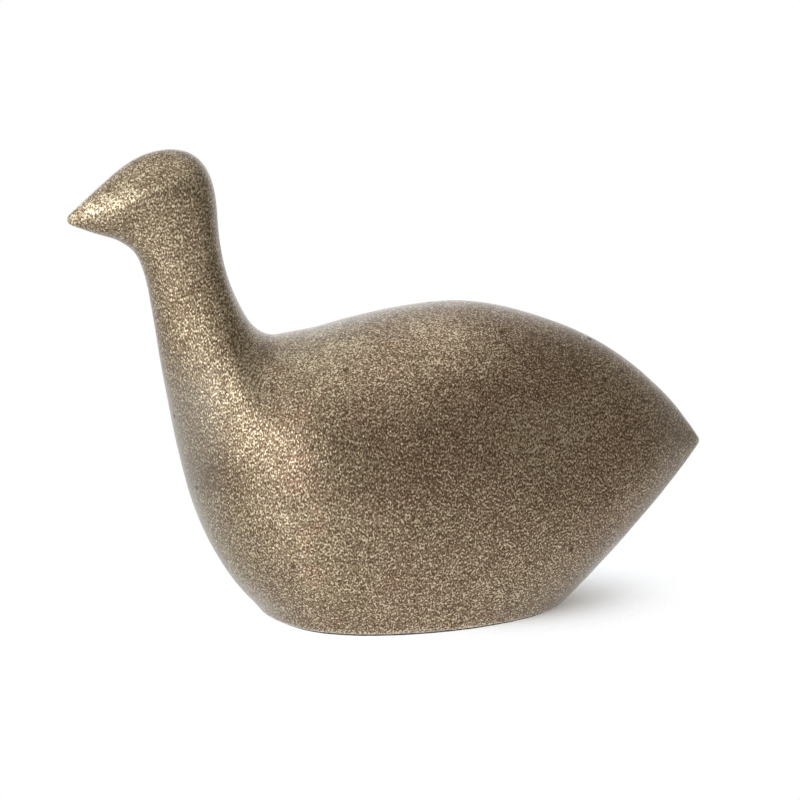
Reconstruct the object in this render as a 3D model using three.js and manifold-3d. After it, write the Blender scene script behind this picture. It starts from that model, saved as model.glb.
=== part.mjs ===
// Bird paperweight: a solid brass casting, ground flat underneath, on a glued felt pad.
// Millimetres, +Z up. The bird faces -X and its middle plane is Y = 0.
// The origin is the middle of the base, on the table that the pad rests on.
import * as THREE from "three";
import Module from "manifold-3d";

const wasm = await Module();
wasm.setup();

// Body
const BASE_LENGTH = 57.2; // ground face, front to rear
const BASE_TUCK = 6.1; // how far each side draws in from the widest part of the body to the base
const BODY_WIDTH = 52;
const BACK_HEIGHT = 58.7; // table to the top of the back
const BACK_SETBACK = 5.4; // top of the back, behind the middle of the base
const TAIL_REACH = 55.4; // tail tip, behind the middle of the base
const TAIL_HEIGHT = 30.2;
const TAIL_TIP_RADIUS = 1.5;
const TAIL_TOP_SLOPE = 53; // degrees between the outline above the tip and the level line out of it
const TAIL_UNDER_SLOPE = 52;
const EDGE_BREAK = 0.4; // worn edge round the ground face, as wide across that face as it is high

// Neck
const NAPE_REACH = 26; // the hollow between back and neck, in front of the middle of the base
const NAPE_HEIGHT = 53.4;
const NECK_REACH = 42.6; // axis of the neck at its narrowest, in front of the middle of the base
const NECK_HEIGHT = 66.2; // table to the narrowest part of the neck
const NECK_DEPTH = 14.8; // front to back
const NECK_WIDTH = 15.6;
const NECK_LEAN = 2; // how much higher the narrowest part lies at the back of the neck than at its front

// Head, measured from the narrowest part of the neck
const CROWN_REACH = 2.9;
const CROWN_RISE = 22.9;
const CHIN_REACH = 10.8;
const CHIN_RISE = 5.2;
const BEAK_REACH = 21.6;
const BEAK_RISE = 10.2;
const BEAK_TIP_RADIUS = 1.2;
const BEAK_TOP_SLOPE = 43;
const BEAK_UNDER_SLOPE = 22.5;
const HEAD_WIDTH = 16.6;

// Felt pad, die-cut with its film of adhesive
const FELT_THICKNESS = 0.5;
const ADHESIVE_THICKNESS = 0.1;
const PAD_INSET = 1.5; // from the edge of the ground face

// Facets
const RINGS_PER_STATION = 4;
const STEPS_AROUND = 52;
const TIP_RINGS = 4;
const OUTLINE_POINTS = 96;

// Anchor points in the middle plane, as [x, z].
const groundZ = FELT_THICKNESS + ADHESIVE_THICKNESS;
const tail = [TAIL_REACH, TAIL_HEIGHT];
const back = [BACK_SETBACK, BACK_HEIGHT];
const nape = [-NAPE_REACH, NAPE_HEIGHT];
const neckBack = [-NECK_REACH + NECK_DEPTH / 2, NECK_HEIGHT + NECK_LEAN / 2];
const neckFront = [-NECK_REACH - NECK_DEPTH / 2, NECK_HEIGHT - NECK_LEAN / 2];
const crown = [-NECK_REACH - CROWN_REACH, NECK_HEIGHT + CROWN_RISE];
const chin = [-NECK_REACH - CHIN_REACH, NECK_HEIGHT + CHIN_RISE];
const beak = [-NECK_REACH - BEAK_REACH, NECK_HEIGHT + BEAK_RISE];
const baseFront = [-BASE_LENGTH / 2, groundZ];
const baseRear = [BASE_LENGTH / 2, groundZ];

const halfBody = BODY_WIDTH / 2;
const halfNeck = NECK_WIDTH / 2;
const halfHead = HEAD_WIDTH / 2;

// The raw casting runs on below the ground face to a keel. The deeper the keel, the wider the ground face.
const BACK_WIDEST = 0.6; // share of the height, keel to back, at which the body is widest
const tuckRise = Math.sqrt(1 - ((halfBody - BASE_TUCK) / halfBody) ** 2);
const groundShare = BACK_WIDEST * (1 - tuckRise);
const keelDepth = ((BACK_HEIGHT - groundZ) * groundShare) / (1 - groundShare);
const keel = [BACK_SETBACK / 2, groundZ - keelDepth];

const mix = (from, to, share) => from + (to - from) * share;

// The point that lies the share u of the way between two anchors along X, and the share v along Z.
const between = (from, to, u, v) => [mix(from[0], to[0], u), mix(from[1], to[1], v)];

// A tip's last station, where the outline above and below meets the round end. It faces +X (1) or -X (-1).
function tipEnds(tip, facing, radius, topSlope, underSlope) {
  const [top, under] = [topSlope, underSlope].map(THREE.MathUtils.degToRad);
  const axis = (top - under) / 2;
  const centre = [tip[0] - facing * radius * Math.cos(axis), tip[1] + radius * Math.sin(axis)];
  return {
    top: [centre[0] + facing * radius * Math.sin(top), centre[1] + radius * Math.cos(top)],
    bottom: [centre[0] + facing * radius * Math.sin(under), centre[1] - radius * Math.cos(under)],
    half: radius * Math.cos((top + under) / 2),
  };
}

// A station is a cross-section: its top and bottom in the middle plane, its half width, the share of its
// height at which it is widest, and how sharp the ridge along its side is, from 0 for an oval to 1.
const stations = [
  { ...tipEnds(tail, 1, TAIL_TIP_RADIUS, TAIL_TOP_SLOPE, TAIL_UNDER_SLOPE), widest: 0.5, ridge: 0 },
  {
    top: between(tail, back, 0.094, 0.246),
    bottom: between(tail, baseRear, 0.194, 0.233),
    half: halfBody * 0.215,
    widest: 0.5,
    ridge: 0,
  },
  {
    top: between(tail, back, 0.244, 0.512),
    bottom: between(tail, baseRear, 0.477, 0.52),
    half: halfBody * 0.455,
    widest: 0.5,
    ridge: 0,
  },
  { top: between(tail, back, 0.49, 0.79), bottom: baseRear, half: halfBody * 0.725, widest: 0.51, ridge: 0 },
  {
    top: between(tail, back, 0.73, 0.943),
    bottom: between(baseRear, keel, 0.4, 0.5),
    half: halfBody * 0.88,
    widest: 0.56,
    ridge: 0,
  },
  { top: back, bottom: keel, half: halfBody * 0.985, widest: BACK_WIDEST, ridge: 0 },
  {
    top: between(nape, back, 0.554, 0.623),
    bottom: between(keel, baseFront, 0.448, 0.07),
    half: halfBody,
    widest: 0.58,
    ridge: 0,
  },
  {
    top: between(nape, back, 0.363, 0.35),
    bottom: between(keel, baseFront, 0.78, 0.46),
    half: halfBody * 0.965,
    widest: 0.57,
    ridge: 0,
  },
  {
    top: between(nape, back, 0.204, 0.135),
    bottom: baseFront,
    half: halfBody * 0.9,
    widest: 0.565,
    ridge: 0,
  },
  {
    top: between(nape, back, 0.083, 0.04),
    bottom: between(baseFront, neckFront, 0.248, 0.093),
    half: halfBody * 0.805,
    widest: 0.565,
    ridge: 0,
  },
  {
    top: nape,
    bottom: between(baseFront, neckFront, 0.546, 0.272),
    half: mix(halfNeck, halfBody, 0.515),
    widest: 0.575,
    ridge: 0,
  },
  {
    top: between(nape, neckBack, 0.25, 0.065),
    bottom: between(baseFront, neckFront, 0.712, 0.458),
    half: mix(halfNeck, halfBody, 0.35),
    widest: 0.61,
    ridge: 0,
  },
  {
    top: between(nape, neckBack, 0.5, 0.225),
    bottom: between(baseFront, neckFront, 0.83, 0.659),
    half: mix(halfNeck, halfBody, 0.2),
    widest: 0.67,
    ridge: 0,
  },
  {
    top: between(nape, neckBack, 0.76, 0.543),
    bottom: between(baseFront, neckFront, 0.92, 0.845),
    half: mix(halfNeck, halfBody, 0.085),
    widest: 0.725,
    ridge: 0,
  },
  { top: neckBack, bottom: neckFront, half: halfNeck, widest: 0.735, ridge: 0 },
  {
    top: between(neckBack, crown, 0.107, 0.338),
    bottom: between(neckFront, chin, 0.47, 0.7),
    half: halfHead * 0.93,
    widest: 0.73,
    ridge: 0,
  },
  { top: between(neckBack, crown, 0.187, 0.688), bottom: chin, half: halfHead, widest: 0.75, ridge: 0 },
  {
    top: between(neckBack, crown, 0.5, 0.94),
    bottom: between(chin, beak, 0.185, 0.23),
    half: halfHead * 0.985,
    widest: 0.72,
    ridge: 0.1,
  },
  { top: crown, bottom: between(chin, beak, 0.352, 0.36), half: halfHead * 0.87, widest: 0.53, ridge: 0.3 },
  {
    top: between(crown, beak, 0.332, 0.132),
    bottom: between(chin, beak, 0.556, 0.5),
    half: halfHead * 0.66,
    widest: 0.43,
    ridge: 0.5,
  },
  {
    top: between(crown, beak, 0.594, 0.411),
    bottom: between(chin, beak, 0.722, 0.64),
    half: halfHead * 0.45,
    widest: 0.42,
    ridge: 0.62,
  },
  {
    top: between(crown, beak, 0.807, 0.682),
    bottom: between(chin, beak, 0.843, 0.73),
    half: halfHead * 0.26,
    widest: 0.43,
    ridge: 0.58,
  },
  { ...tipEnds(beak, -1, BEAK_TIP_RADIUS, BEAK_TOP_SLOPE, BEAK_UNDER_SLOPE), widest: 0.46, ridge: 0.3 },
];

// A natural cubic spline through values at rising knots, as a function of the knot variable.
function spline(knots, values) {
  const last = knots.length - 1;
  const bend = new Array(last + 1).fill(0);
  const carry = new Array(last + 1).fill(0);
  for (let i = 1; i < last; i++) {
    const before = knots[i] - knots[i - 1];
    const after = knots[i + 1] - knots[i];
    const turn = (values[i + 1] - values[i]) / after - (values[i] - values[i - 1]) / before;
    const pivot = 2 * (before + after) - before * carry[i - 1];
    carry[i] = after / pivot;
    bend[i] = (6 * turn - before * bend[i - 1]) / pivot;
  }
  for (let i = last - 1; i > 0; i--) bend[i] -= carry[i] * bend[i + 1];
  return (t) => {
    let i = 0;
    while (i < last - 1 && t > knots[i + 1]) i++;
    const span = knots[i + 1] - knots[i];
    const b = (t - knots[i]) / span;
    const a = 1 - b;
    const curve = (((a ** 3 - a) * bend[i] + (b ** 3 - b) * bend[i + 1]) * span ** 2) / 6;
    return a * values[i] + b * values[i + 1] + curve;
  };
}

// Knots rise by the mean distance between one station's ends and the next one's.
function stationKnots() {
  const knots = [0];
  for (let i = 1; i < stations.length; i++) {
    const [from, to] = [stations[i - 1], stations[i]];
    const topStep = Math.hypot(to.top[0] - from.top[0], to.top[1] - from.top[1]);
    const bottomStep = Math.hypot(to.bottom[0] - from.bottom[0], to.bottom[1] - from.bottom[1]);
    knots.push(knots[i - 1] + (topStep + bottomStep) / 2);
  }
  return knots;
}

// One ring of points round a section, from its top down the +Y side and up the -Y side.
function ring({ top, bottom, half, widest, ridge }) {
  const points = [];
  for (let i = 0; i < STEPS_AROUND; i++) {
    const angle = (i / STEPS_AROUND) * 2 * Math.PI;
    const up = Math.cos(angle);
    const rise = (1 - ridge) * up + ridge * up * Math.abs(up);
    const share = widest + (up > 0 ? 1 - widest : widest) * rise;
    const [x, z] = between(bottom, top, share, share);
    points.push(new THREE.Vector3(x, half * Math.sin(angle), z));
  }
  return points;
}

// A round end: the last ring shrinks along a quarter circle as it moves out to the tip.
function tipRings(lastRing, tip, radius) {
  const centre = lastRing.reduce((sum, p) => sum.add(p), new THREE.Vector3()).divideScalar(lastRing.length);
  const outward = new THREE.Vector3(tip[0], 0, tip[1]).sub(centre);
  const start = Math.asin(Math.max(0, 1 - outward.length() / radius));
  const rings = [];
  for (let i = 1; i < TIP_RINGS; i++) {
    const angle = mix(start, Math.PI / 2, i / TIP_RINGS);
    const size = Math.cos(angle) / Math.cos(start);
    const shift = (Math.sin(angle) - Math.sin(start)) / (1 - Math.sin(start));
    const moved = centre.clone().addScaledVector(outward, shift);
    rings.push(lastRing.map((p) => p.clone().sub(centre).multiplyScalar(size).add(moved)));
  }
  return rings;
}

// A closed surface through rings of as many points each, drawn together to a point at both ends.
function skin(startTip, rings, endTip) {
  const count = rings[0].length;
  const points = [startTip, ...rings.flat(), endTip];
  const at = (r, i) => 1 + r * count + (i % count);
  const index = [];
  for (let i = 0; i < count; i++) {
    index.push(0, at(0, i), at(0, i + 1));
    for (let r = 0; r + 1 < rings.length; r++) {
      index.push(at(r, i), at(r + 1, i), at(r + 1, i + 1));
      index.push(at(r, i), at(r + 1, i + 1), at(r, i + 1));
    }
    index.push(at(rings.length - 1, i), points.length - 1, at(rings.length - 1, i + 1));
  }
  return new THREE.BufferGeometry().setFromPoints(points).setIndex(index);
}

// The bird as it leaves the mould, with its keel, lofted through the stations from tail to beak.
function rawCasting() {
  const knots = stationKnots();
  const names = ["half", "widest", "ridge"];
  const along = Object.fromEntries(names.map((name) => [name, spline(knots, stations.map((s) => s[name]))]));
  const ends = {};
  for (const name of ["top", "bottom"]) {
    ends[name] = [0, 1].map((axis) => spline(knots, stations.map((s) => s[name][axis])));
  }
  const rings = [];
  for (let i = 0; i < knots.length - 1; i++) {
    for (let step = 0; step < RINGS_PER_STATION; step++) {
      const t = mix(knots[i], knots[i + 1], step / RINGS_PER_STATION);
      rings.push(
        ring({
          top: ends.top.map((f) => f(t)),
          bottom: ends.bottom.map((f) => f(t)),
          half: along.half(t),
          widest: along.widest(t),
          ridge: Math.max(0, along.ridge(t)),
        }),
      );
    }
  }
  rings.push(ring(stations.at(-1)));
  const tailRings = tipRings(rings[0], tail, TAIL_TIP_RADIUS).reverse();
  const beakRings = tipRings(rings.at(-1), beak, BEAK_TIP_RADIUS);
  const tips = [tail, beak].map(([x, z]) => new THREE.Vector3(x, 0, z));
  return skin(tips[0], [...tailRings, ...rings, ...beakRings], tips[1]);
}

// The outline that a level plane cuts from a solid round the origin, as OUTLINE_POINTS points at even angles.
function outlineAt(geometry, z) {
  const position = geometry.getAttribute("position");
  const index = geometry.getIndex().array;
  const hits = [];
  for (let i = 0; i < index.length; i++) {
    const next = i % 3 === 2 ? i - 2 : i + 1;
    const a = new THREE.Vector3().fromBufferAttribute(position, index[i]);
    const b = new THREE.Vector3().fromBufferAttribute(position, index[next]);
    if (a.z <= z && b.z > z) {
      const p = a.lerp(b, (z - a.z) / (b.z - a.z));
      hits.push({ angle: Math.atan2(p.y, p.x), radius: Math.hypot(p.x, p.y) });
    }
  }
  hits.sort((p, q) => p.angle - q.angle);
  const turn = 2 * Math.PI;
  hits.unshift({ ...hits.at(-1), angle: hits.at(-1).angle - turn });
  hits.push({ ...hits[1], angle: hits[1].angle + turn });
  return Array.from({ length: OUTLINE_POINTS }, (_, i) => {
    const angle = -Math.PI + (i / OUTLINE_POINTS) * turn;
    const after = hits.findIndex((hit) => hit.angle > angle);
    const [p, q] = [hits[after - 1], hits[after]];
    const radius = mix(p.radius, q.radius, (angle - p.angle) / (q.angle - p.angle));
    return new THREE.Vector2(Math.cos(angle), Math.sin(angle)).multiplyScalar(radius);
  });
}

// An outline drawn in by a distance, square to itself.
function drawnIn(outline, distance) {
  return outline.map((point, i) => {
    const before = outline.at(i - 1);
    const after = outline[(i + 1) % outline.length];
    const run = after.clone().sub(before).normalize();
    return new THREE.Vector2(point.x - run.y * distance, point.y + run.x * distance);
  });
}

// What grinding leaves: the space above the ground face, opening outwards from its broken edge.
function spaceAboveGround(raw) {
  const low = drawnIn(outlineAt(raw, groundZ), EDGE_BREAK);
  const high = outlineAt(raw, groundZ + EDGE_BREAK);
  const rise = 2 * crown[1];
  const rim = low.map((p) => new THREE.Vector3(p.x, p.y, groundZ));
  const lid = low.map((p, i) => {
    const q = p.clone().lerp(high[i], rise / EDGE_BREAK);
    return new THREE.Vector3(q.x, q.y, groundZ + rise);
  });
  const [bottom, top] = [groundZ, groundZ + rise].map((z) => new THREE.Vector3(0, 0, z));
  return skin(top, [lid.reverse(), rim.reverse()], bottom);
}

function toManifold(geometry) {
  const vertProperties = geometry.getAttribute("position").array;
  const triVerts = new Uint32Array(geometry.getIndex().array);
  return new wasm.Manifold(new wasm.Mesh({ numProp: 3, vertProperties, triVerts }));
}

function fromManifold(solid) {
  const { vertProperties, triVerts } = solid.getMesh();
  const geometry = new THREE.BufferGeometry();
  geometry.setAttribute("position", new THREE.BufferAttribute(new Float32Array(vertProperties), 3));
  geometry.setIndex(new THREE.BufferAttribute(new Uint32Array(triVerts), 1));
  geometry.computeVertexNormals();
  return geometry;
}

function padLayer(outline, thickness) {
  return new THREE.ExtrudeGeometry(new THREE.Shape(outline), { depth: thickness, bevelEnabled: false });
}

function addPiece(group, name, geometry, z, look) {
  const mesh = new THREE.Mesh(geometry, new THREE.MeshStandardMaterial(look));
  mesh.name = name;
  mesh.position.z = z;
  group.add(mesh);
}

const agedBrass = { color: 0x8a7650, metalness: 1, roughness: 0.45 };
const clearAdhesive = { color: 0xb9b4a2, metalness: 0, roughness: 0.4 };
const darkFelt = { color: 0x22241f, metalness: 0, roughness: 1 };

const raw = rawCasting();
const casting = fromManifold(toManifold(raw).intersect(toManifold(spaceAboveGround(raw))));
const padOutline = drawnIn(outlineAt(raw, groundZ), PAD_INSET);

const paperweight = new THREE.Group();
addPiece(paperweight, "cast_bird", casting, 0, agedBrass);
const felt = padLayer(padOutline, FELT_THICKNESS);
const adhesive = padLayer(padOutline, ADHESIVE_THICKNESS);
addPiece(paperweight, "pad_adhesive", adhesive, FELT_THICKNESS, clearAdhesive);
addPiece(paperweight, "felt_pad", felt, 0, darkFelt);

export default paperweight;
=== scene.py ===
"""Bird paperweight: the looks of an aged brass sand casting on a thin dark felt pad.

Metres, +Z up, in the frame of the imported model. The bird faces -X and the pad rests on Z = 0.
The materials of the bird and its pad work in millimetres on the object.
"""

import math

import bmesh
import bpy
import numpy as np
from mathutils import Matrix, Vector, noise
from mathutils.bvhtree import BVHTree

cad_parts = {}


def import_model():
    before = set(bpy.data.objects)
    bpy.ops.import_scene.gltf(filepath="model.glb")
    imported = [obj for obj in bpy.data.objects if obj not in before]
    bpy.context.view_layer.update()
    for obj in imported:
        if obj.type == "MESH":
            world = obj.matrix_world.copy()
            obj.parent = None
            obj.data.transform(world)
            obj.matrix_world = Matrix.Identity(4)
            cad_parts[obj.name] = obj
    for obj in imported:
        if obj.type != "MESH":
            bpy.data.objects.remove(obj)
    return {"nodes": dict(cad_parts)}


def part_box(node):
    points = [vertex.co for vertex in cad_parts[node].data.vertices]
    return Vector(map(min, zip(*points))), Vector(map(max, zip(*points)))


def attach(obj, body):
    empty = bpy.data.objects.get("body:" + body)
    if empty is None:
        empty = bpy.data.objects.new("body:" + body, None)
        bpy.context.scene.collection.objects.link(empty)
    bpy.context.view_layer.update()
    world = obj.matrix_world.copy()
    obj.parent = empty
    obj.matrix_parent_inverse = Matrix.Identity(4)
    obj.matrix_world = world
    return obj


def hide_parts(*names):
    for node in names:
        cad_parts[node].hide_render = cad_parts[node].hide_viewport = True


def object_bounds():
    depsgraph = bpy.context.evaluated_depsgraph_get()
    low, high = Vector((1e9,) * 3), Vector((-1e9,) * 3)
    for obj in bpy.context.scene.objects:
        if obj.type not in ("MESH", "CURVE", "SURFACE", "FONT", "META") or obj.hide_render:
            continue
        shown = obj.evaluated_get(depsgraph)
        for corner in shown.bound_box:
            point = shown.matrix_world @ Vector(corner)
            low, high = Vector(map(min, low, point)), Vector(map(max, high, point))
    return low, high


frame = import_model()
cad_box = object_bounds()

MM = 0.001

# Casting mesh
SMOOTH_LEVELS = 2
MESH_PITCH = 0.425 * MM
WELD = 0.001 * MM  # vertices this close are one
PAIR_BEND = math.radians(25)  # most that the two facets of a quad turn from each other
PAIR_SKEW = math.radians(60)  # most that a quad's corners depart from square
SHARP_EDGE = math.radians(30)
SHARP_BAND = 1 * MM  # height above the ground face within which a sharp edge stays sharp

# Relief of the casting, cut inwards from the smooth surface: its depth and the size of its swells
RELIEF = [
    {"depth": 0.10 * MM, "size": 7.0 * MM},
    {"depth": 0.05 * MM, "size": 3.0 * MM},
    {"depth": 0.03 * MM, "size": 1.6 * MM},
]
RELIEF_FADE = 2.5 * MM  # height above the ground face over which the relief comes in

# Pinholes of the sand casting
PIT_SEED = 7
PIT_COUNT = 34
PIT_RADIUS = (0.45 * MM, 0.8 * MM)
PIT_DEPTH = 0.25 * MM
PIT_CLEAR = 4 * MM  # no pits this close to the ground face

# Rubbed edges: one over the radius of the surface, where rubbing starts and where it is full
WEAR_SMOOTHING = 12
WEAR_CURVE = (1 / (8.0 * MM), 1 / (3.0 * MM))
LEAST_SPAN = 1e-12  # square of an edge's length, so that nothing is divided by zero

# Parts of the bird whose patina or painted sheen differs: x or z in mm where each starts and where it is
# full
REAR_X = (-30.0, 15.0)
FRONT_X = (-22.0, -34.0)
TAIL_X = (38.0, 58.0)
BREAST_X = (-34.0, -44.0)
BREAST_Z = (55.0, 42.0)

# Grain of the brass, lengths in mm: each pair is for the front and for the rear
GRAIN_SIZE = 0.41
GRAIN_DRAWING = (1.0, 1.0, 0.56)  # scale of the axes it is drawn on, which stretches it upwards
GRAIN_FREQUENCY = (0.92, 1.0)
GRAIN_CONTRAST = (1.15, 1.4)
# the rear's lower level also paints shade on the flank
GRAIN_LEVEL = (0.495, 0.482)  # level of a point half way up the grain
GRAIN_DEPTH = 0.13
GRAIN_WORN = 0.6  # share of its depth that rubbing leaves

# Level of a point of the brass, from 0 in a dark hollow to 1 on a bright peak, and what shifts it
SLOPE_LEVELS = (0.28, 0.52)  # where the colour of the hollows turns into that of the slopes
PEAK_LEVELS = (0.48, 0.77)  # where the colour of the slopes turns into that of the peaks
WEAR_LIFT = 0.16
CLOUD_SIZE = 3.2
CLOUD_SHIFT = 0.06
SPECKLE_SIZE = 0.4
SPECKLE_SHIFT = 0.12
PIT_LEFT = 0.15  # share of the level that is left in the middle of a pinhole

# Ovals that lift the level of the brass or lower it, x and z in mm: most paint highlights or shade
PAINTED_LIGHT_OVALS = [
    # painted highlights on the shoulder, the neck and the top of the back
    {"centre": (-17.5, 52.0), "size": (12.0, 7.0), "level": 0.04},
    {"centre": (-32.0, 49.5), "size": (5.0, 9.0), "level": 0.08},
    {"centre": (5.0, 56.0), "size": (13.0, 5.0), "level": 0.05},
    # a higher level on the flank
    {"centre": (21.0, 36.0), "size": (13.0, 11.0), "level": 0.05},
    # painted shade on the breast and on the back towards the tail
    {"centre": (-38.5, 30.5), "size": (8.0, 7.0), "level": -0.07},
    {"centre": (27.0, 50.0), "size": (15.0, 6.0), "level": -0.05},
    # a lower level on the flank
    {"centre": (-5.5, 33.0), "size": (18.0, 12.0), "level": -0.03},
    # a lower level at the beak tip
    {"centre": (-64.0, 77.0), "size": (3.0, 3.0), "level": -0.14},
    # painted highlight along the beak ridge
    {"centre": (-59.8, 79.2), "size": (2.8, 1.5), "level": 0.12},
    {"centre": (-56.4, 80.8), "size": (3.0, 1.6), "level": 0.12},
    {"centre": (-52.8, 82.4), "size": (3.2, 1.8), "level": 0.10},
]
OVAL_CORE = 0.2  # share of an oval's reach within which it is full

# Colours of the brass, linear: pairs are the two ends of a blend
BRASS_HOLLOW = ((0.084, 0.041, 0.014), (0.124, 0.068, 0.030))
BRASS_SLOPE = {
    "warm": (0.278, 0.186, 0.113),
    "olive": (0.264, 0.192, 0.111),
    "copper": (0.304, 0.182, 0.108),
}
BRASS_PEAK = {
    "warm": (0.825, 0.695, 0.495),
    "olive": (0.805, 0.708, 0.485),
    "worn": (0.92, 0.82, 0.62),
}
# pale grey of the dull film, partly a painted sheen of grazing reflection
BRASS_FILM_AND_SHEEN = (0.36, 0.34, 0.305)
BRASS_GROUND = ((0.50, 0.39, 0.24), (0.78, 0.66, 0.44))
FRONT_OLIVE = 0.85  # least share of olive at the front
FRONT_COPPER = 0.15  # share of its copper that the front keeps
REAR_COPPER = 0.5  # least share of copper at the rear
FILM_AND_SHEEN_SHARE = 0.35  # of the colour, where the dull film and its painted sheen are full

# Gloss of the brass: pairs are the two ends of a blend
BRASS_ROUGHNESS = {"slope": 0.29, "peak": 0.18, "worn": 0.16}
BRASS_METAL = (0.85, 1.0)
GROUND_ROUGHNESS = (0.38, 0.26)

# Ground underside of the casting, in mm
GROUND_BAND = (0.06, 0.01)  # height above it at which its bare brass starts, and is full
SCRATCH_DRAWING = (0.12, 5.0, 0.0)  # scale of the axes, which draws the scratches out along the bird
SCRATCH_HEIGHT = 0.4  # as a share of the grain's depth

# Felt
FELT_PITCH = 0.5 * MM
FELT_RELIEF = 0.06 * MM
FELT_ROUND = 0.12 * MM
FELT_ROUND_STEPS = (0, 30, 60, 90)  # degrees round the softened lower edge
FELT_SIDE_RINGS = 4
FELT_SIDES = 300
RIM_DECIMALS = 7  # of a metre, at which two points of the rim are one when seen from above
FELT_DARK = ((0.008, 0.010, 0.009), (0.034, 0.038, 0.032))
FELT_PALE = (0.085, 0.090, 0.080)
PALE_SHARE = 0.6  # of the colour, on a pale fibre

# Swells of the nap under the pad, and of its rim
NAP = {"size": 0.9 * MM, "seed": 5}
RAGGED_RIM = {"size": 0.7 * MM, "seed": 9}

# Adhesive film
GLUE = ((0.30, 0.27, 0.19), (0.42, 0.39, 0.29))
GLUE_ROUGHNESS = (0.30, 0.50)
BUBBLE = (0.60, 0.57, 0.46)

# Camera, with its lens and sensor in mm
CAMERA_TARGET = Vector((-2.332, 0, 40.288)) * MM
CAMERA_AZIMUTH = math.radians(-10)
CAMERA_ELEVATION = math.radians(13)
CAMERA_DISTANCE = 0.8
CAMERA_LENS = 192.4
CAMERA_SENSOR = 36
CAMERA_CLIP = (0.01, 10)

# Patch of paper under the bird, which takes its shadow
FLOOR_RADIUS = 0.12
FLOOR_CENTRE = Vector((20, 14, 0)) * MM
FLOOR_FADE = (0.014, 0.040)  # distance from its centre at which the paper starts to fade, and ends
FLOOR_WHITE = (0.9, 0.9, 0.9)  # as it lights the bird
FLOOR_SEEN = (1.80, 1.91, 2.04)  # as it is seen: bright and cool, to be white in the cloths' warm shade

# Grey cloths on a shell round the bird, with their angles in degrees. A span is the angle from the
# cloth's middle at which it has thinned out, and the angle at which it is still whole.
SCREEN_RADIUS = (1.5, 1.5, 0.75)
SCREENS = [
    {"azimuth": 66, "elevation": 19, "span": (112, 38), "cover": 1.0},
    {"azimuth": -125, "elevation": -50, "span": (75, 30), "cover": 0.35},
    {"azimuth": 130, "elevation": -40, "span": (55, 22), "cover": 0.65},
]
SCREEN_GREY = (0.315, 0.300, 0.280)

# Lamps, with their angles in degrees
LAMPS = {
    "key": {"azimuth": -73, "elevation": 18, "distance": 0.7, "size": (1.1, 0.5), "radiance": 1.1},
    "low": {"azimuth": -56, "elevation": -32, "distance": 0.7, "size": (0.26, 0.5), "radiance": 0.75},
    "top": {"azimuth": -60, "elevation": 84, "distance": 0.6, "size": (0.7, 0.7), "radiance": 0.32},
}

ground_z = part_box("cast_bird")[0].z


class Graph:
    """A node tree with short calls that add nodes and join them."""

    def __init__(self, tree):
        self.tree = tree
        tree.nodes.clear()

    def node(self, kind, inputs=None, **settings):
        """A new node, its settings, and its inputs as values or as sockets of other nodes."""
        made = self.tree.nodes.new(kind)
        for key, value in settings.items():
            setattr(made, key, value)
        for key, value in (inputs or {}).items():
            if isinstance(value, bpy.types.NodeSocket):
                self.tree.links.new(value, made.inputs[key])
            else:
                made.inputs[key].default_value = value
        return made

    def math(self, operation, *values):
        return self.node("ShaderNodeMath", dict(enumerate(values)), operation=operation).outputs[0]

    def blend(self, factor, low, high):
        """A number that goes from low to high as factor goes from 0 to 1."""
        return self.node("ShaderNodeMix", {"Factor": factor, "A": low, "B": high}).outputs["Result"]

    def ramp(self, value, start, end):
        """A smooth step from 0 at start to 1 at end."""
        made = self.node("ShaderNodeMapRange", {"Value": value}, interpolation_type="SMOOTHSTEP")
        made.inputs["From Min"].default_value = start
        made.inputs["From Max"].default_value = end
        return made.outputs["Result"]

    def colours(self, factor, low, high):
        """A colour that goes from low to high as factor goes from 0 to 1."""
        made = self.node("ShaderNodeMix", {"Factor": factor}, data_type="RGBA")
        for key, value in (("A", low), ("B", high)):
            socket = next(s for s in made.inputs if s.name == key and s.type == "RGBA")
            if isinstance(value, bpy.types.NodeSocket):
                self.tree.links.new(value, socket)
            else:
                socket.default_value = (*value, 1)
        return next(s for s in made.outputs if s.type == "RGBA")

    def shaders(self, factor, low, high):
        """A shader that goes from low to high as factor goes from 0 to 1."""
        return self.node("ShaderNodeMixShader", {0: factor, 1: low, 2: high}).outputs[0]

    def vector(self, operation, first, second):
        made = self.node("ShaderNodeVectorMath", {0: first, 1: second}, operation=operation)
        return made.outputs["Value" if operation == "DOT_PRODUCT" else "Vector"]

    def length(self, vector):
        return self.node("ShaderNodeVectorMath", {0: vector}, operation="LENGTH").outputs["Value"]

    def place(self):
        """The point's place on the object, in metres."""
        return self.node("ShaderNodeTexCoord").outputs["Object"]

    def millimetres(self):
        """The point's place on the object, in millimetres."""
        return self.vector("MULTIPLY", self.place(), (1 / MM,) * 3)

    def noise(self, place, size, detail=2.0, roughness=0.5, distortion=0.0):
        """Noise from 0 to 1 whose swells are about size across, in the units of place."""
        inputs = {
            "Vector": place,
            "Scale": 1 / size,
            "Detail": detail,
            "Roughness": roughness,
            "Distortion": distortion,
        }
        return self.node("ShaderNodeTexNoise", inputs).outputs["Fac"]

    def patches(self, place, size, edges, **kind):
        """Noise made into patches, 0 outside and 1 inside, whose edges lie over that range of it."""
        return self.ramp(self.noise(place, size, **kind), *edges)

    def bump(self, height, depth, strength=1.0):
        """A normal bent by a relief whose height of 1 stands depth millimetres high."""
        inputs = {"Strength": strength, "Distance": depth * MM, "Height": height}
        return self.node("ShaderNodeBump", inputs).outputs["Normal"]

    def attribute(self, name):
        return self.node("ShaderNodeAttribute", attribute_name=name).outputs["Fac"]

    def principled(self, inputs):
        self.surface(self.node("ShaderNodeBsdfPrincipled", inputs).outputs[0])

    def surface(self, shader):
        self.node("ShaderNodeOutputMaterial", {"Surface": shader})


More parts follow.
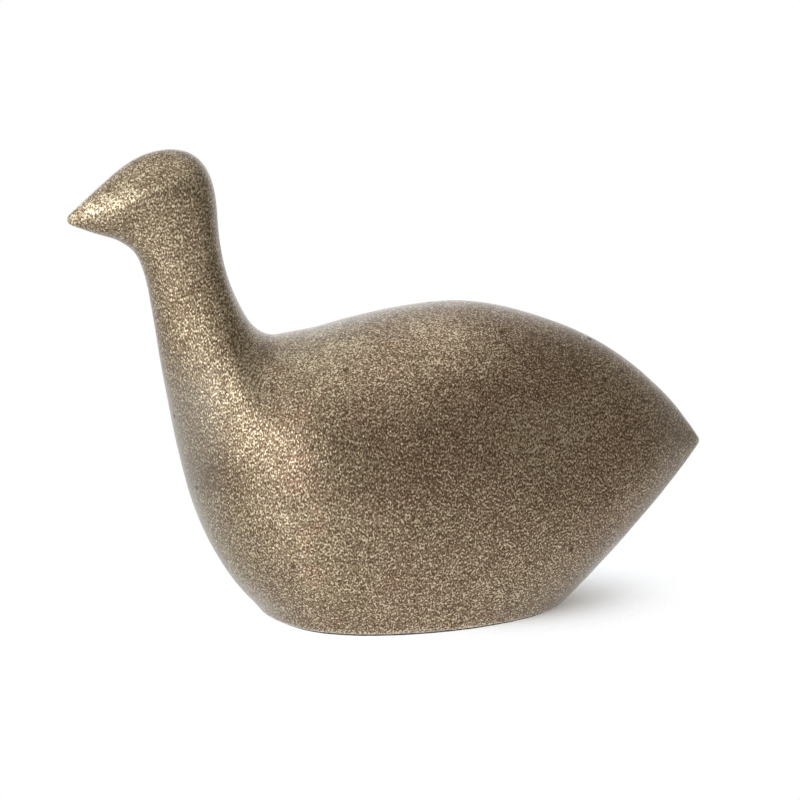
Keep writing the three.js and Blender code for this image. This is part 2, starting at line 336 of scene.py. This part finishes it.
def new_material(name):
    material = bpy.data.materials.new(name)
    material.use_nodes = True
    return material, Graph(material.node_tree)


def oval(g, place, centre, size):
    """A soft upright oval through the bird from side to side, 1 in its middle and 0 at its rim."""
    offset = g.vector("SUBTRACT", place, (centre[0], 0.0, centre[1]))
    scaled = g.vector("MULTIPLY", offset, (1 / size[0], 0.0, 1 / size[1]))
    return g.ramp(g.length(scaled), 1.0, OVAL_CORE)


def brass_grain(g, place, rear):
    """The casting's fine wandering grain, from 0 to 1."""
    inputs = {
        "Vector": g.vector("MULTIPLY", place, GRAIN_DRAWING),
        "Scale": 1 / GRAIN_SIZE,
        "Frequency": g.blend(rear, *GRAIN_FREQUENCY),
        "Anisotropy": 0.0,
    }
    return g.node("ShaderNodeTexGabor", inputs, gabor_type="3D").outputs["Value"]


def brass_level(g, place, rear, grain, wear, cloud):
    """How far a point stands out of the dark hollows of the grain, lifted or lowered in ovals that paint
    highlights and shade.
    """
    swing = g.math("SUBTRACT", grain, 0.5)
    level = g.math("MULTIPLY_ADD", swing, g.blend(rear, *GRAIN_CONTRAST), g.blend(rear, *GRAIN_LEVEL))
    speckle = g.noise(place, SPECKLE_SIZE, detail=1.0)
    level = g.math("ADD", level, g.blend(wear, 0.0, WEAR_LIFT))
    level = g.math("ADD", level, g.blend(cloud, -CLOUD_SHIFT, CLOUD_SHIFT))
    level = g.math("ADD", level, g.blend(speckle, -SPECKLE_SHIFT, SPECKLE_SHIFT))
    # the ovals add painted highlights and painted shade to the level
    for spot in PAINTED_LIGHT_OVALS:
        cover = oval(g, place, spot["centre"], spot["size"])
        level = g.math("MULTIPLY_ADD", cover, spot["level"], level)
    return g.math("MULTIPLY", level, g.blend(g.attribute("pit"), 1.0, PIT_LEFT))


def brass_colours(g, place, x, rear, wear, cloud):
    """The colours of hollows, slopes and peaks: warm ones with patches of olive and of copper."""
    front = g.ramp(x, *FRONT_X)
    olive = g.patches(place, size=13.0, edges=(0.38, 0.62), detail=1.0)
    olive = g.math("MAXIMUM", olive, g.blend(front, 0.0, FRONT_OLIVE))
    copper = g.patches(place, size=5.0, edges=(0.52, 0.72))
    copper = g.math("MAXIMUM", copper, g.blend(rear, 0.0, REAR_COPPER))
    copper = g.math("MULTIPLY", copper, g.blend(front, 1.0, FRONT_COPPER))

    hollow = g.colours(cloud, *BRASS_HOLLOW)
    slope = g.colours(olive, BRASS_SLOPE["warm"], BRASS_SLOPE["olive"])
    slope = g.colours(copper, slope, BRASS_SLOPE["copper"])
    peak = g.colours(olive, BRASS_PEAK["warm"], BRASS_PEAK["olive"])
    peak = g.colours(wear, peak, BRASS_PEAK["worn"])
    return hollow, slope, peak


def film_and_painted_sheen(g, x, z):
    """How much of a dull grey film lies on the tail and the breast; its pale grey also paints the sheen of
    grazing reflections there.
    """
    breast = g.math("MULTIPLY", g.ramp(x, *BREAST_X), g.ramp(z, *BREAST_Z))
    return g.math("MULTIPLY", g.math("MAXIMUM", g.ramp(x, *TAIL_X), breast), FILM_AND_SHEEN_SHARE)


def aged_brass():
    """Cast brass with a fine wandering grain, dark in its hollows and rubbed pale on its high spots, with
    painted highlights and shade in ovals and a dull film that partly paints a grey sheen.
    """
    material, g = new_material("aged brass")
    place = g.millimetres()
    x, _, z = g.node("ShaderNodeSeparateXYZ", {0: place}).outputs
    rear = g.ramp(x, *REAR_X)
    wear = g.attribute("wear")
    cloud = g.noise(place, CLOUD_SIZE, detail=3.0)
    grain = brass_grain(g, place, rear)
    level = brass_level(g, place, rear, grain, wear, cloud)
    high = g.ramp(level, *PEAK_LEVELS)

    hollow, slope, peak = brass_colours(g, place, x, rear, wear, cloud)
    colour = g.colours(g.ramp(level, *SLOPE_LEVELS), hollow, slope)
    colour = g.colours(high, colour, peak)
    # dull film on the tail and breast, partly a painted grey sheen of grazing reflection
    colour = g.colours(film_and_painted_sheen(g, x, z), colour, BRASS_FILM_AND_SHEEN)
    rough = g.blend(high, BRASS_ROUGHNESS["slope"], BRASS_ROUGHNESS["peak"])
    rough = g.blend(wear, rough, BRASS_ROUGHNESS["worn"])
    metal = g.blend(high, *BRASS_METAL)
    height = g.math("MULTIPLY", grain, g.blend(wear, 1.0, GRAIN_WORN))

    # the ground underside: bare brass with the marks of the abrasive along the bird
    ground = g.ramp(z, *(ground_z / MM + band for band in GROUND_BAND))
    scratches = g.noise(g.vector("MULTIPLY", place, SCRATCH_DRAWING), size=1.0, detail=3.0)
    colour = g.colours(ground, colour, g.colours(scratches, *BRASS_GROUND))
    rough = g.blend(ground, rough, g.blend(scratches, *GROUND_ROUGHNESS))
    metal = g.blend(ground, metal, 1.0)
    height = g.blend(ground, height, g.math("MULTIPLY", scratches, SCRATCH_HEIGHT))

    inputs = {
        "Base Color": colour,
        "Roughness": rough,
        "Metallic": metal,
        "Coat Weight": 1.0,
        "Coat IOR": 1.4,
        "Coat Roughness": 0.3,
        "Normal": g.bump(height, GRAIN_DEPTH),
    }
    g.principled(inputs)
    return material


def felt():
    """Dense black-green wool felt: tangled fibres with a few pale ones."""
    material, g = new_material("dark felt")
    place = g.millimetres()
    fibre = g.noise(place, size=0.30, detail=3.0, roughness=0.6, distortion=2.5)
    pale = g.patches(place, size=0.45, edges=(0.62, 0.72), distortion=4.0)
    colour = g.colours(g.ramp(fibre, 0.3, 0.7), *FELT_DARK)
    colour = g.colours(g.math("MULTIPLY", pale, PALE_SHARE), colour, FELT_PALE)
    inputs = {
        "Base Color": colour,
        "Roughness": 0.95,
        "Sheen Weight": 0.3,
        "Sheen Roughness": 0.6,
        "Normal": g.bump(fibre, 0.12, strength=0.8),
    }
    g.principled(inputs)
    return material


def adhesive():
    """A clear glue film over brass, yellowed and cloudy, with small trapped bubbles."""
    material, g = new_material("adhesive")
    place = g.millimetres()
    cloud = g.noise(place, size=2.0)
    bubble = g.patches(place, size=0.5, edges=(0.66, 0.72), detail=1.0)
    colour = g.colours(cloud, *GLUE)
    colour = g.colours(bubble, colour, BUBBLE)
    rough = g.blend(cloud, *GLUE_ROUGHNESS)
    normal = g.bump(bubble, 0.03, strength=0.5)
    g.principled({"Base Color": colour, "Roughness": rough, "Normal": normal})
    return material


def added(name, data):
    """A new object in the scene."""
    piece = bpy.data.objects.new(name, data)
    bpy.context.scene.collection.objects.link(piece)
    return piece


def dressed(name, mesh, material):
    """A new object in the scene, all of that material."""
    mesh.materials.clear()
    mesh.materials.append(material)
    return added(name, mesh)


def modified(mesh, kind, **settings):
    """What a modifier makes of a mesh."""
    piece = added("modified", mesh)
    modifier = piece.modifiers.new("Modifier", kind)
    for key, value in settings.items():
        setattr(modifier, key, value)
    depsgraph = bpy.context.evaluated_depsgraph_get()
    made = bpy.data.meshes.new_from_object(piece.evaluated_get(depsgraph))
    bpy.data.objects.remove(piece)
    return made


def smooth_form(node):
    """The CAD solid as quads where its facets pair up, its ground edge creased, rounded by subdivision."""
    mesh = node.data.copy()
    bm = bmesh.new()
    bm.from_mesh(mesh)
    bmesh.ops.remove_doubles(bm, verts=bm.verts, dist=WELD)
    limits = {"angle_face_threshold": PAIR_BEND, "angle_shape_threshold": PAIR_SKEW}
    bmesh.ops.join_triangles(bm, faces=bm.faces, **limits)
    crease = bm.edges.layers.float.new("crease_edge")
    for edge in bm.edges:
        at_ground = edge.verts[0].co.z < ground_z + SHARP_BAND
        if at_ground and len(edge.link_faces) == 2 and edge.calc_face_angle() > SHARP_EDGE:
            edge[crease] = 1
    bm.to_mesh(mesh)
    bm.free()
    return modified(mesh, "SUBSURF", levels=SMOOTH_LEVELS, render_levels=SMOOTH_LEVELS)


def read(items, name, width, kind=float):
    """One property of every vertex or edge of a mesh, as rows."""
    flat = np.empty(len(items) * width, dtype=kind)
    items.foreach_get(name, flat)
    return flat.reshape(-1, width)


def place_points(mesh, points):
    mesh.vertices.foreach_set("co", points.ravel())
    mesh.update()


def store(mesh, name, values):
    """Keeps a number per vertex for the material."""
    mesh.attributes.new(name, "FLOAT", "POINT").data.foreach_set("value", values)


def swell(points, size, seed):
    """Smooth noise from 0 to 1 at each point."""
    offset = Vector((seed, 2 * seed, 3 * seed))
    values = np.array([noise.noise(Vector(point) / size + offset) for point in points])
    return np.clip(0.5 + 0.5 * values, 0, 1)


def curvature(mesh, points):
    """How tightly the surface bends outwards at each vertex, in one over metres, smoothed along it."""
    edges = read(mesh.edges, "vertices", 2, np.int32)
    outwards = read(mesh.vertices, "normal", 3)
    span = points[edges[:, 1]] - points[edges[:, 0]]
    turn = outwards[edges[:, 1]] - outwards[edges[:, 0]]
    bend = (turn * span).sum(axis=1) / np.maximum((span * span).sum(axis=1), LEAST_SPAN)
    ends = np.concatenate([edges[:, 0], edges[:, 1]])
    others = np.concatenate([edges[:, 1], edges[:, 0]])
    count = np.bincount(ends, minlength=len(points))
    values = np.bincount(ends, weights=np.concatenate([bend, bend]), minlength=len(points)) / count
    for _ in range(WEAR_SMOOTHING):
        around = np.bincount(ends, weights=values[others], minlength=len(points)) / count
        values = 0.5 * values + 0.5 * around
    return values


def pits(points):
    """Round hollows at seeded places, from 0 outside them to 1 at their middles."""
    chance = np.random.RandomState(PIT_SEED)
    depth = np.zeros(len(points))
    free = np.nonzero(points[:, 2] > ground_z + PIT_CLEAR)[0]
    for middle in points[chance.choice(free, PIT_COUNT, replace=False)]:
        radius = chance.uniform(*PIT_RADIUS)
        away = np.linalg.norm(points - middle, axis=1) / radius
        depth = np.maximum(depth, np.clip(1 - away**2, 0, 1) ** 2)
    return depth


def even_mesh(smooth):
    """The same surface in even, small quads, and their points, which lie on it."""
    surface = BVHTree.FromPolygons([v.co for v in smooth.vertices], [p.vertices for p in smooth.polygons])
    mesh = modified(smooth, "REMESH", mode="VOXEL", voxel_size=MESH_PITCH)
    points = np.array([surface.find_nearest(Vector(point))[0] for point in read(mesh.vertices, "co", 3)])
    place_points(mesh, points)
    return mesh, points


def casting(material):
    """The bird: the smooth CAD form with the casting's relief, pinholes and rubbed edges."""
    mesh, points = even_mesh(smooth_form(frame["nodes"]["cast_bird"]))
    wear = np.clip((curvature(mesh, points) - WEAR_CURVE[0]) / (WEAR_CURVE[1] - WEAR_CURVE[0]), 0, 1)
    pit = pits(points)
    depth = pit * PIT_DEPTH
    for i, part in enumerate(RELIEF):
        depth = depth + part["depth"] * swell(points, part["size"], i + 1)
    depth = depth * np.clip((points[:, 2] - ground_z) / RELIEF_FADE, 0, 1)
    points = points - read(mesh.vertices, "normal", 3) * depth[:, None]
    points[:, 2] = np.maximum(points[:, 2], ground_z)
    place_points(mesh, np.clip(points, cad_box[0], cad_box[1]))

    store(mesh, "wear", wear)
    store(mesh, "pit", pit)
    mesh.shade_smooth()
    return dressed("brass_casting", mesh, material)


def rim_of(node):
    """The outline of a flat CAD piece seen from above, as evenly spaced points round it."""
    flat = np.unique(read(node.data.vertices, "co", 3)[:, :2].round(RIM_DECIMALS), axis=0)
    flat = flat[np.argsort(np.arctan2(flat[:, 1], flat[:, 0]))]
    loop = np.vstack([flat, flat[:1]])
    run = np.concatenate([[0], np.cumsum(np.linalg.norm(np.diff(loop, axis=0), axis=1))])
    steps = np.linspace(0, run[-1], FELT_SIDES, endpoint=False)
    return np.column_stack([np.interp(steps, run, loop[:, 0]), np.interp(steps, run, loop[:, 1])])


def flat_area(rim):
    after = np.roll(rim, -1, axis=0)
    return abs((rim[:, 0] * after[:, 1] - rim[:, 1] * after[:, 0]).sum()) / 2


def felt_sections(low, high, reach):
    """The pad's rings from the middle of its underside round the rim to the middle of its top.

    Each is a share of the outline, an inset from it, and a height.
    """
    inner = np.arange(1, int(reach / FELT_PITCH)) * FELT_PITCH / reach
    under = [(share, 0.0, low) for share in inner]
    corner = []
    for turn in np.radians(FELT_ROUND_STEPS):
        corner.append((1.0, FELT_ROUND * (1 - math.sin(turn)), low + FELT_ROUND * (1 - math.cos(turn))))
    side = [(1.0, 0.0, height) for height in np.linspace(low + 2 * FELT_ROUND, high, FELT_SIDE_RINGS)]
    over = [(share, 0.0, high) for share in inner[::-1]]
    return under + corner + side + over


def felt_rings(rim, low, high):
    """The rings of the pad's even form, each with its points round the rim."""
    along = np.roll(rim, -1, axis=0) - np.roll(rim, 1, axis=0)
    outwards = np.column_stack([along[:, 1], -along[:, 0]]) / np.linalg.norm(along, axis=1)[:, None]
    rings = []
    for share, inset, height in felt_sections(low, high, np.abs(rim[:, 0]).max()):
        ring = rim * share - outwards * inset
        rings.append(np.column_stack([ring, np.full(FELT_SIDES, height)]))
    return rings


def roughen_felt(points, low):
    """Gives the pad a napped underside and an uneven rim, both within its even form."""
    nap = swell(points, **NAP) * FELT_RELIEF
    under = points[:, 2] < low + FELT_ROUND
    points[under, 2] += nap[under]
    ragged = swell(points, **RAGGED_RIM) * FELT_RELIEF
    flat = points[:, :2]
    reach = np.maximum(np.abs(flat).max(axis=1), MM)
    flat -= ragged[:, None] * flat / reach[:, None]


def ring_faces(count):
    """Faces over that many rings, closed at a point before the first ring and a point after the last."""
    last = 1 + count * FELT_SIDES
    top = last - FELT_SIDES
    faces = []
    for i in range(FELT_SIDES):
        j = (i + 1) % FELT_SIDES
        faces.append((0, 1 + j, 1 + i))
        for ring in range(count - 1):
            a = 1 + ring * FELT_SIDES
            b = a + FELT_SIDES
            faces.append((a + i, a + j, b + j, b + i))
        faces.append((top + i, top + j, last))
    return faces


def felt_piece(material):
    """The pad: die-cut felt with a softened lower edge, an uneven rim and a napped underside.

    With it comes the area of felt that it is cut from.
    """
    low, high = (corner.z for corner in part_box("felt_pad"))
    rim = rim_of(frame["nodes"]["felt_pad"])
    rings = felt_rings(rim, low, high)
    points = np.concatenate([[[0, 0, low]], *rings, [[0, 0, high]]])
    roughen_felt(points, low)
    mesh = bpy.data.meshes.new("felt")
    mesh.from_pydata(points.tolist(), [], ring_faces(len(rings)))
    mesh.shade_smooth()
    return dressed("felt_sheet", mesh, material), flat_area(rim)


def world():
    """Plain white all round, at the strength at which it renders as white."""
    made = bpy.data.worlds.new("studio")
    made.use_nodes = True
    bpy.context.scene.world = made
    g = Graph(made.node_tree)
    background = g.node("ShaderNodeBackground", {"Color": (1, 1, 1, 1), "Strength": 1.0})
    g.node("ShaderNodeOutputWorld", {"Surface": background.outputs[0]})


def floor_material():
    """White paper that fades to the plain white of the world, and can't be seen from below."""
    material, g = new_material("floor")
    path = g.node("ShaderNodeLightPath").outputs
    seen = g.math("MAXIMUM", path["Is Camera Ray"], path["Is Glossy Ray"])
    seen = g.math("MAXIMUM", seen, path["Is Transmission Ray"])
    paper = g.node("ShaderNodeBsdfDiffuse", {"Color": g.colours(seen, FLOOR_WHITE, FLOOR_SEEN)}).outputs[0]
    clear = g.node("ShaderNodeBsdfTransparent").outputs[0]
    faded = g.shaders(g.ramp(g.length(g.place()), *FLOOR_FADE), paper, clear)
    below = g.node("ShaderNodeNewGeometry").outputs["Backfacing"]
    g.surface(g.shaders(below, faded, clear))
    return material


def screen_material():
    """Grey cloths, each thinned out smoothly towards its edge."""
    material, g = new_material("screen")
    place = g.place()
    cover = 0.0
    for cloth in SCREENS:
        middle = direction(math.radians(cloth["azimuth"]), math.radians(cloth["elevation"]))
        thin, whole = (math.cos(math.radians(angle)) for angle in cloth["span"])
        share = g.ramp(g.vector("DOT_PRODUCT", place, middle), thin, whole)
        cover = g.math("MAXIMUM", cover, g.math("MULTIPLY", share, cloth["cover"]))
    clear = g.node("ShaderNodeBsdfTransparent").outputs[0]
    grey = g.node("ShaderNodeEmission", {"Color": (*SCREEN_GREY, 1), "Strength": 1.0}).outputs[0]
    g.surface(g.shaders(cover, clear, grey))
    material.cycles.emission_sampling = "NONE"
    return material


def plain_shape(name, build, material, **sizes):
    """A piece whose mesh is what one bmesh operator builds."""
    bm = bmesh.new()
    build(bm, **sizes)
    mesh = bpy.data.meshes.new(name)
    bm.to_mesh(mesh)
    bm.free()
    return dressed(name, mesh, material)


def floor():
    circle = {"cap_ends": True, "radius": FLOOR_RADIUS, "segments": 96}
    piece = plain_shape("floor", bmesh.ops.create_circle, floor_material(), **circle)
    piece.location = FLOOR_CENTRE


def screen():
    """The shell of grey cloths, which only its light and the reflections show."""
    sphere = {"subdivisions": 4, "radius": 1}
    piece = plain_shape("screen", bmesh.ops.create_icosphere, screen_material(), **sphere)
    piece.location = CAMERA_TARGET
    piece.scale = SCREEN_RADIUS
    piece.visible_camera = False


def direction(azimuth, elevation):
    """The way from the bird outwards. Azimuth 0 is its left side, -90 its beak and 90 its tail."""
    level = math.cos(elevation)
    return Vector((math.sin(azimuth) * level, -math.cos(azimuth) * level, math.sin(elevation)))


def place_towards(piece, azimuth, elevation, distance):
    """Places a camera or lamp round the target, looking at it."""
    back = direction(azimuth, elevation)
    piece.location = CAMERA_TARGET + back * distance
    piece.rotation_euler = (-back).to_track_quat("-Z", "Y").to_euler()


def softbox(name, azimuth, elevation, distance, size, radiance):
    """A rectangular lamp that shows the same radiance all over."""
    lamp = bpy.data.lights.new(name, "AREA")
    lamp.shape = "RECTANGLE"
    lamp.size, lamp.size_y = size
    lamp.energy = radiance * math.pi * size[0] * size[1]
    piece = added(name, lamp)
    place_towards(piece, math.radians(azimuth), math.radians(elevation), distance)


def camera():
    lens = bpy.data.cameras.new("camera")
    lens.lens = CAMERA_LENS
    lens.sensor_width = CAMERA_SENSOR
    lens.clip_start, lens.clip_end = CAMERA_CLIP
    piece = added("camera", lens)
    place_towards(piece, CAMERA_AZIMUTH, CAMERA_ELEVATION, CAMERA_DISTANCE)
    bpy.context.scene.camera = piece


camera()
world()
floor()
screen()
for name, lamp in LAMPS.items():
    softbox(name, **lamp)

bird = casting(aged_brass())
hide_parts("cast_bird")
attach(bird, "root")

pad, pad_area = felt_piece(felt())
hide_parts("felt_pad")
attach(pad, "root")

frame["nodes"]["pad_adhesive"].data.materials[0] = adhesive()

bpy.context.scene.view_settings.view_transform = "Standard"
